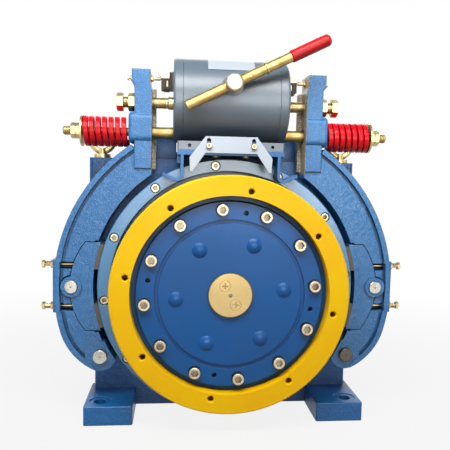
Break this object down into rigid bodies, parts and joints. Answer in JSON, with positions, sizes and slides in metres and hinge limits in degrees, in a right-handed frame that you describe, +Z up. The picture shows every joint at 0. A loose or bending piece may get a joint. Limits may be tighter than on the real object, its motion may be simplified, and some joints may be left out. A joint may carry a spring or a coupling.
{
  "type": "elevator traction machine",
  "caption": "Gearless elevator traction machine with a grooved rope sheave, a spring-applied two-arm drum brake, a release magnet and a hand release lever.",
  "frame": {"origin": "centre of the foot bolt pattern, on the plane that the feet stand on", "axes": "+X to the right seen from the sheave side, +Y back along the shaft towards the motor's rear cover, +Z up"},
  "size_m": [0.701, 0.346, 0.7223],
  "materials": {
    "blue_enamel": "cast iron under blue enamel",
    "yellow_enamel": "yellow enamel",
    "grey_enamel": "grey enamel",
    "red_enamel": "red enamel",
    "light_enamel": "pale blue-grey coated sheet",
    "machined_steel": "machined",
    "zinc_yellow": "yellow passivated zinc",
    "zinc_white": "zinc plated",
    "black_steel": "black oxide",
    "bronze_cap": "turned",
    "copper_winding": "varnished winding",
    "magnet_block": "coated magnet block",
    "laminations": "stacked sheet",
    "friction_lining": "moulded lining",
    "red_grip": "soft sleeve",
    "dark_plastic": "moulded case"
  },
  "bodies": {
    "base": {"machine_base": "blue_enamel", "stator_core": "laminations", "stator_windings": "copper_winding", "bearings": "machined_steel", "rear_cover": "blue_enamel", "rear_cover_screws": "zinc_white", "encoder": "black_steel", "cable_glands": "dark_plastic", "eyebolts": "zinc_yellow", "pivot_pins": "machined_steel", "magnet_housing": "grey_enamel", "magnet_end_caps": "grey_enamel", "brake_coils": "copper_winding", "magnet_base_bar": "grey_enamel", "magnet_base_bolts": "black_steel", "rope_guard_bracket": "light_enamel", "bracket_screws": "zinc_white", "spring_rods": "zinc_yellow", "spring_washers": "zinc_yellow", "spring_nuts": "zinc_yellow", "switch_brackets": "black_steel", "microswitches": "dark_plastic", "brake_spring_left": "red_enamel", "brake_spring_right": "red_enamel"},
    "rotor": {"main_shaft": "machined_steel", "rotor_yoke": "laminations", "rotor_magnets": "magnet_block", "rotor_flange": "blue_enamel", "brake_drum": "blue_enamel", "drum_screws": "zinc_white", "traction_sheave": "yellow_enamel", "sheave_hub": "blue_enamel", "hub_bolts": "zinc_white", "centre_cap": "bronze_cap", "cap_screws": "bronze_cap"},
    "lever": {"lever_rod": "zinc_yellow", "lever_grip": "red_grip", "lever_knob": "zinc_white", "lever_cam": "machined_steel", "lever_clips": "zinc_yellow"},
    "arm_left": {"brake_arm_left": "blue_enamel", "shoe_pin_left": "machined_steel", "adjusting_screws_left": "zinc_yellow", "push_bolt_left": "zinc_yellow", "push_nut_left": "zinc_yellow", "switch_bolt_left": "zinc_yellow"},
    "shoe_left": {"brake_shoe_left": "blue_enamel", "brake_lining_left": "friction_lining"},
    "plunger_left": {"plunger_left": "machined_steel"},
    "switch_plunger_left": {"switch_plunger_left": "zinc_white"},
    "arm_right": {"brake_arm_right": "blue_enamel", "shoe_pin_right": "machined_steel", "adjusting_screws_right": "zinc_yellow", "push_bolt_right": "zinc_yellow", "push_nut_right": "zinc_yellow", "switch_bolt_right": "zinc_yellow"},
    "shoe_right": {"brake_shoe_right": "blue_enamel", "brake_lining_right": "friction_lining"},
    "plunger_right": {"plunger_right": "machined_steel"},
    "switch_plunger_right": {"switch_plunger_right": "zinc_white"}
  },
  "joints": [
    {"name": "sheave_spin", "type": "hinge", "parent": "base", "child": "rotor", "pos_m": [0, 0, 0.255], "axis": [0, 1, 0], "continuous": true},
    {"name": "arm_left_open", "type": "hinge", "parent": "base", "child": "arm_left", "pos_m": [-0.23895, -0.082, 0.12091], "axis": [0, -1, 0], "range_deg": [0, 0.35], "stiffness_Nm_per_rad": 2500, "springref_deg": -0.57, "deforming": ["brake_spring_left"]},
    {"name": "shoe_left_tilt", "type": "hinge", "parent": "arm_left", "child": "shoe_left", "pos_m": [-0.293, -0.082, 0.255], "axis": [0, 1, 0], "range_deg": [0, 0.4]},
    {"name": "plunger_left_push", "type": "slide", "parent": "base", "child": "plunger_left", "axis": [-1, 0, 0], "range_m": [0, 0.0031]},
    {"name": "switch_left_release", "type": "slide", "parent": "base", "child": "switch_plunger_left", "axis": [-1, 0, 0], "range_m": [0, 0.0016]},
    {"name": "arm_right_open", "type": "hinge", "parent": "base", "child": "arm_right", "pos_m": [0.23895, -0.082, 0.12091], "axis": [0, 1, 0], "range_deg": [0, 0.35], "stiffness_Nm_per_rad": 2500, "springref_deg": -0.57, "deforming": ["brake_spring_right"]},
    {"name": "shoe_right_tilt", "type": "hinge", "parent": "arm_right", "child": "shoe_right", "pos_m": [0.293, -0.082, 0.255], "axis": [0, -1, 0], "range_deg": [0, 0.4]},
    {"name": "plunger_right_push", "type": "slide", "parent": "base", "child": "plunger_right", "axis": [1, 0, 0], "range_m": [0, 0.0031]},
    {"name": "switch_right_release", "type": "slide", "parent": "base", "child": "switch_plunger_right", "axis": [1, 0, 0], "range_m": [0, 0.0016]},
    {"name": "release_lever", "type": "hinge", "parent": "base", "child": "lever", "pos_m": [0, -0.173, 0.6305], "axis": [0, -1, 0], "range_deg": [0, 22]}
  ],
  "couplings": [
    {"joint": "shoe_left_tilt", "follows": "arm_left_open", "ratio": 1},
    {"joint": "plunger_left_push", "follows": "arm_left_open", "m_per_rad": 0.4831},
    {"joint": "switch_left_release", "follows": "arm_left_open", "m_per_rad": 0.25},
    {"joint": "arm_right_open", "follows": "arm_left_open", "ratio": 1},
    {"joint": "shoe_right_tilt", "follows": "arm_left_open", "ratio": 1},
    {"joint": "plunger_right_push", "follows": "arm_left_open", "m_per_rad": 0.4831},
    {"joint": "switch_right_release", "follows": "arm_left_open", "m_per_rad": 0.25},
    {"joint": "release_lever", "follows": "arm_left_open", "ratio": 62.81}
  ]
}
